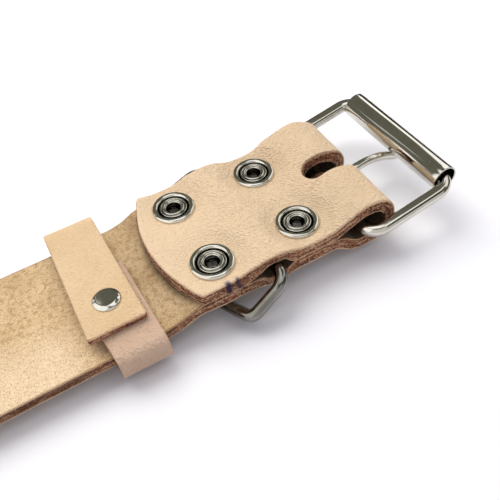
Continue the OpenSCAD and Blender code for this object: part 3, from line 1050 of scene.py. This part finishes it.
def cap_profile(radius, height):
    """The stud's domed cap, seen from below the strap, with a curled rim and its barrel."""
    dome_r = (radius ** 2 + height ** 2) / (2 * height)
    curl = 0.28
    profile = [(0, height)]
    for k in range(1, 13):
        r = (radius - curl) * k / 12
        profile.append((r, math.sqrt(dome_r ** 2 - r ** 2) - dome_r + height))
    profile += circle_arc(radius - curl, curl * 0.9, curl, 50, -80, 7)
    profile += [(radius - 1.0, 0.02), (2.2, 0.02), (2.2, -2.9), (2.35, -2.9), (2.35, -3.15),
                (2.2, -3.2), (2.2, -3.6), (1.8, -3.6), (1.8, 0.3), (0, 0.5)]
    return profile


def make_studs():
    """The eyelets on the flap, and the caps below the strap."""
    upside_down = (1, -1, -1)
    for i, (u, y, pair) in zip(STUD_NUMBERS, STUD_PLACES):
        x = u + FIRST_PAIR_X
        points, faces = lathe(eyelet_profile(), 72)
        eyelet = metal_piece(f"stud_eyelet_{i}", points + (x, y, FLAP_TOP[pair]), faces,
                             "collar", f"snap_eyelet_{i}")
        radius = np.hypot(points[:, 0], points[:, 1])
        # The eyelet's dark groove and hole: dirt and painted shade.
        write_attribute(eyelet, "dirt_and_painted_shade", eyelet_dirt_and_painted_shade(radius, points[:, 2]))
        low, high = node_box(f"snap_cap_{i}")
        under = LOWER_UNDER[pair]
        points, faces = lathe(cap_profile((high[0] - low[0]) / 2, under - low[2]), 64)
        metal_piece(f"stud_cap_{i}", points * upside_down + (x, y, under), faces, "collar",
                    f"snap_cap_{i}", NICKEL_BRUSHED)


# ---- buckle and ring

FRAME_W = 46.0
FRAME_BEND_R = 4.4
FRAME_PITCH = math.atan2(FRONT[2] - HEEL[2], FRONT[0] - HEEL[0])
FRAME_L = math.hypot(FRONT[2] - HEEL[2], FRONT[0] - HEEL[0])


def wire_piece(name, plane_line, turn, origin, radius, body, node, material):
    """A closed ring of round wire, bent in a plane and turned into place."""
    if np.linalg.norm(plane_line[0] - plane_line[-1]) < 0.05:
        plane_line = plane_line[:-1]
    line = np.c_[plane_line, np.zeros(len(plane_line))] @ np.array(turn.to_3x3()).T + origin
    points, faces = sweep(line, [ring_section(radius, 28)] * len(line), closed=True)
    metal_piece(name, points, faces, body, node, material)


def make_frame():
    """The buckle's frame, a rectangle of round wire."""
    bar_half = FRAME_W / 2 - FRAME_BEND_R
    arm = FRAME_L - 2 * FRAME_BEND_R
    quarter = (FRAME_BEND_R, 90)
    line = bent_wire([(bar_half, *quarter), (arm, *quarter), (2 * bar_half, *quarter),
                      (arm, *quarter), (bar_half, 0, 0)])
    turn = Matrix.Rotation(-FRAME_PITCH, 4, "Y") @ Matrix.Rotation(-math.pi / 2, 4, "Z")
    wire_piece("buckle_frame_wire", line, turn, HEEL, WIRE_FRAME_R, "buckle", "buckle_frame",
               NICKEL)


def make_ring():
    """The ring: a straight bar, a leg and a shoulder on each side, and a round bow. It leans
    so far that the bow rests on the floor."""
    ends = [(RING_BAR_HALF, *RING_CORNER), (RING_LEG, *RING_SHOULDER)]
    reach, rise = bent_wire(ends)[-1]
    turned = RING_CORNER[1] + RING_SHOULDER[1]
    bow_r = reach / math.sin(math.radians(turned))
    depth = rise + bow_r * (1 + math.cos(math.radians(turned)))
    lean = math.asin((RING_BAR[2] - WIRE_RING_R) / depth)
    line = bent_wire([*ends, (0, bow_r, 360 - 2 * turned), (0, *RING_SHOULDER),
                      (RING_LEG, *RING_CORNER), (RING_BAR_HALF, 0, 0)], 4.0)
    turn = Matrix.Rotation(-lean, 4, "Y") @ Matrix.Rotation(math.pi / 2, 4, "Z")
    wire_piece("d_ring_wire", line, turn, RING_BAR, WIRE_RING_R, "ring", "d_ring", RING_NICKEL_PAINTED_DARK)


def make_roller():
    """The roller, a rolled tube with rounded rims and its seam, on the front bar."""
    half = ROLLER_L / 2
    rim = 0.2
    profile = circle_arc(ROLLER_R - rim, half - rim, rim, 0, 90, 5)
    profile += circle_arc(ROLLER_R - ROLLER_WALL + rim, half - rim, rim, 90, 180, 5)
    profile += [(r, -z) for r, z in reversed(profile)]
    profile += [(ROLLER_R, z) for z in np.linspace(-half + rim, half - rim, 24)[1:-1]]
    points, faces = lathe(profile, 96)
    angle = np.arctan2(points[:, 1], points[:, 0]) - ROLLER_SEAM
    away = np.abs((angle + math.pi) % (2 * math.pi) - math.pi) * ROLLER_R
    radius = np.hypot(points[:, 0], points[:, 1])
    groove = 0.16 * smooth_step(0.2, 0.0, away) * (radius > ROLLER_R - rim - 1e-6)
    points[:, :2] *= (1 - groove / radius)[:, None]
    points = np.c_[points[:, 0], -points[:, 2], points[:, 1]]
    metal_piece("roller_tube", points + FRONT, faces, "roller", "buckle_roller")


def prong_line():
    """The prong's middle line in the XZ plane from the heel bar: the open end of its loop,
    round the bar, then a rise, a hump and a flat tip."""
    loop = arc_points(np.zeros(2), PRONG_LOOP_R * heading(PRONG_LOOP_FROM), PRONG_LOOP_TURN, 44)
    ahead = heading(PRONG_RISE)
    shank = bent_wire(PRONG_SHANK, 2.0) @ np.array([ahead, (-ahead[1], ahead[0])])
    shank += (WIRE_FRAME_R + PRONG_R) * heading(PRONG_LEAVES_AT)
    shank = shank[lengths_along(shank) > PRONG_BRIDGE]
    share = np.linspace(0, 1, 14)[1:-1, None]
    a, d = loop[-1], shank[0]
    reach = np.linalg.norm(d - a) * 0.4
    b, c = a + unit(a - loop[-2]) * reach, d - ahead * reach
    bridge = a * (1 - share) ** 3 + 3 * b * share * (1 - share) ** 2 \
        + 3 * c * share ** 2 * (1 - share) + d * share ** 3
    return loop, bridge, shank


def prong_section(flatness, size):
    """From a round wire at 0 to a flat strip at 1, as (across, thickness) points."""
    section = ring_section(1.0, 28)
    halves = PRONG_R * (1 - flatness) + np.array(PRONG_STRIP) * flatness
    power = 1 - 0.55 * flatness
    return np.sign(section) * np.abs(section) ** power * halves * size


def make_prong():
    """The prong, a wire that is flattened round the bar, with a domed tip and a blunt end."""
    loop, bridge, shank = prong_line()
    tip = np.radians((15, 30, 45, 60, 72, 82, 88))
    dome = shank[-1] + np.outer(np.sin(tip), unit(shank[-1] - shank[-2]) * PRONG_R)
    blunt = np.radians((80, 60, 40, 20))
    nose = loop[0] + np.outer(np.sin(blunt), unit(loop[0] - loop[1]) * 0.5)
    line = np.concatenate([nose, loop, bridge, shank, dome])
    flatness = softened(np.concatenate([
        np.ones(len(nose) + len(loop)), np.linspace(1, 0, len(bridge)),
        np.zeros(len(shank) + len(dome))]), 9)
    size = np.concatenate([0.35 + 0.65 * np.cos(blunt),
                           np.ones(len(loop) + len(bridge) + len(shank)), np.cos(tip)])
    path = np.c_[line[:, 0], np.zeros(len(line)), line[:, 1]] + HEEL
    points, faces = sweep(path, list(map(prong_section, flatness, size)), first_side=(0, 1, 0))
    metal_piece("prong_wire", points, faces, "prong", "buckle_prong")


# ---- hidden press stud parts

HIDDEN = {"snap_socket": NICKEL_BRUSHED, "snap_stud": NICKEL_BRUSHED, "snap_spring": SPRING_STEEL}


def finish_hidden_parts():
    """The sockets, springs and studs between the layers keep their CAD shape."""
    for kind, material in HIDDEN.items():
        for i in STUD_NUMBERS:
            materials = frame["nodes"][f"{kind}_{i}"].data.materials
            materials.clear()
            materials.append(material)


# ---- camera, floor and light

CAMERA_AZIMUTH = -114.8
CAMERA_ELEVATION = 49.0
CAMERA_ROLL = math.radians(-6.73)
CAMERA_DISTANCE = 0.1727
CAMERA_TARGET = (FIRST_PAIR_X + 12.89, -7.08, 6.0)
CAMERA_LENS = 45.7


def direction(azimuth, elevation):
    """The unit vector at an azimuth from +X towards +Y and an elevation, in degrees."""
    a, e = math.radians(azimuth), math.radians(elevation)
    return Vector((math.cos(a) * math.cos(e), math.sin(a) * math.cos(e), math.sin(e)))


def make_camera():
    """The photo's view, from the near side and above, a little tilted."""
    back = direction(CAMERA_AZIMUTH, CAMERA_ELEVATION)
    target = Vector(CAMERA_TARGET) * MM
    data = bpy.data.cameras.new("camera")
    data.sensor_width = 36
    data.lens = CAMERA_LENS
    data.clip_start = 0.001
    camera = link(bpy.data.objects.new("camera", data))
    aim = back.to_track_quat("Z", "Y").to_matrix().to_4x4()
    place = Matrix.Translation(target + back * CAMERA_DISTANCE)
    camera.matrix_world = place @ aim @ Matrix.Rotation(CAMERA_ROLL, 4, "Z")
    bpy.context.scene.camera = camera


def make_floor():
    """A wide sheet of white paper."""
    half = 4000.0
    mesh = bpy.data.meshes.new("floor")
    corners = [(-half, -half, 0), (half, -half, 0), (half, half, 0), (-half, half, 0)]
    mesh.from_pydata([(x * MM, y * MM, z) for x, y, z in corners], [], [(0, 1, 2, 3)])
    sh = Shader("floor_paper")
    tone = sh.noise(sh.coordinates(), 3.0, 2, 0.5)
    paper = sh.mix(tone, (0.765, 0.77, 0.78, 1), (0.785, 0.79, 0.80, 1))
    mesh.materials.append(sh.finished(Base_Color=paper, Roughness=0.9, Specular_IOR_Level=0.1))
    link(bpy.data.objects.new("floor", mesh))


def make_lamp(name, azimuth, elevation, distance, size, watts, colour):
    """A soft round lamp that lights the object but isn't mirrored in its metal."""
    data = bpy.data.lights.new(name, "AREA")
    data.shape = "DISK"
    data.size = size
    data.energy = watts
    data.color = colour
    lamp = link(bpy.data.objects.new(name, data))
    aim = Vector((FIRST_PAIR_X * MM, 0, 0))
    lamp.location = aim + direction(azimuth, elevation) * distance
    lamp.rotation_mode = "QUATERNION"
    lamp.rotation_quaternion = direction(azimuth, elevation).to_track_quat("Z", "Y")
    lamp.visible_glossy = False


# What polished metal sees: light panels in a dark room. Azimuth from +X towards +Y and
# elevation, in degrees: middle, half width, half height, softness, brightness.
ROOM_DARK = (0.150, 0.150, 0.118)
PANELS = (
    (45, 2, 62, 16, 4, 0.02),
    (41, 31, 9, 6, 2, 1.7),
    (23, 42, 11, 19, 3, 1.5),
    (131, 40, 2, 10, 1.5, 0.8),
    (145, 14, 3, 7, 2, 1.4),
    (188, 30, 34, 27, 4, 1.4),
    (-112, 22, 34, 28, 5, 0.8),
    (-112, 52, 34, 3, 2, 0.04),
    (-55, 58, 32, 5, 3, 1.5),
    (-70, 38, 12, 6, 2, 0.02),
    (-70, 15, 14, 12, 4, 0.7),
    (-120, 73, 60, 11, 5, 1.3),
    (-12, 40, 22, 14, 4, 1.2),
)
OVERHEAD = (170, 79, 17, 4, 1.5)


def room_colour(azimuth, elevation):
    colour = np.array(ROOM_DARK)
    for middle, height, half_w, half_h, soft, bright in PANELS:
        away = abs((azimuth - middle + 180) % 360 - 180)
        share = float(smooth_step(half_w + soft, half_w - soft, away)
                      * smooth_step(half_h + soft, half_h - soft, abs(elevation - height)))
        colour = colour * (1 - share) + np.array((bright, bright, bright * 0.98)) * share
    overhead_azimuth, overhead_elevation, size, soft, bright = OVERHEAD
    away = math.degrees(direction(azimuth, elevation).angle(
        direction(overhead_azimuth, overhead_elevation)))
    share = float(smooth_step(size + soft, size - soft, away))
    return colour * (1 - share) + bright * share


def make_room():
    """A dome round the buckle end that only reflections see, with the light panels on it."""
    radius = 190.0
    turns, rises = 180, 60
    centre = Vector((FRONT[0] - 20, 0, 0))
    places = [(360.0 * i / turns, 90.0 * j / rises) for j in range(rises + 1)
              for i in range(turns)]
    rings = np.arange(len(places)).reshape(rises + 1, turns)
    faces = []
    for ring, following in zip(rings, rings[1:]):
        faces += band(ring, following)
    mesh = bpy.data.meshes.new("room")
    mesh.from_pydata([(direction(*place) * radius + centre) * MM for place in places], [], faces)
    colours = [(*room_colour(*place), 1.0) for place in places]
    layer = mesh.attributes.new("light", "FLOAT_COLOR", "POINT")
    layer.data.foreach_set("color", np.array(colours, np.float32).ravel())
    sh = Shader("room_light")
    glow = sh.node("Emission", {"Color": sh.mark("light", "Color")})
    sh.put(sh.tree.nodes["Material Output"].inputs["Surface"], glow.outputs[0])
    sh.tree.nodes.remove(sh.bsdf)
    mesh.materials.append(sh.material)
    room = link(bpy.data.objects.new("room", mesh))
    for ray in ("camera", "diffuse", "shadow", "transmission", "volume_scatter"):
        setattr(room, f"visible_{ray}", False)


def make_light():
    world = bpy.data.worlds.new("studio")
    bpy.context.scene.world = world
    world.use_nodes = True
    background = world.node_tree.nodes["Background"]
    background.inputs["Color"].default_value = (0.955, 0.925, 1.03, 1)
    background.inputs["Strength"].default_value = 0.585
    make_lamp("key_lamp", 102, 55, 0.9, 0.8, 7.6, (1.0, 0.99, 0.95))
    make_lamp("side_lamp", 8, 58, 0.9, 0.9, 2.5, (1.0, 0.99, 0.97))
    bpy.context.scene.view_settings.view_transform = "Standard"


make_camera()
make_floor()
make_light()
make_room()
make_strap()
make_keeper()
make_rivet()
make_studs()
make_frame()
make_ring()
make_roller()
make_prong()
finish_hidden_parts()
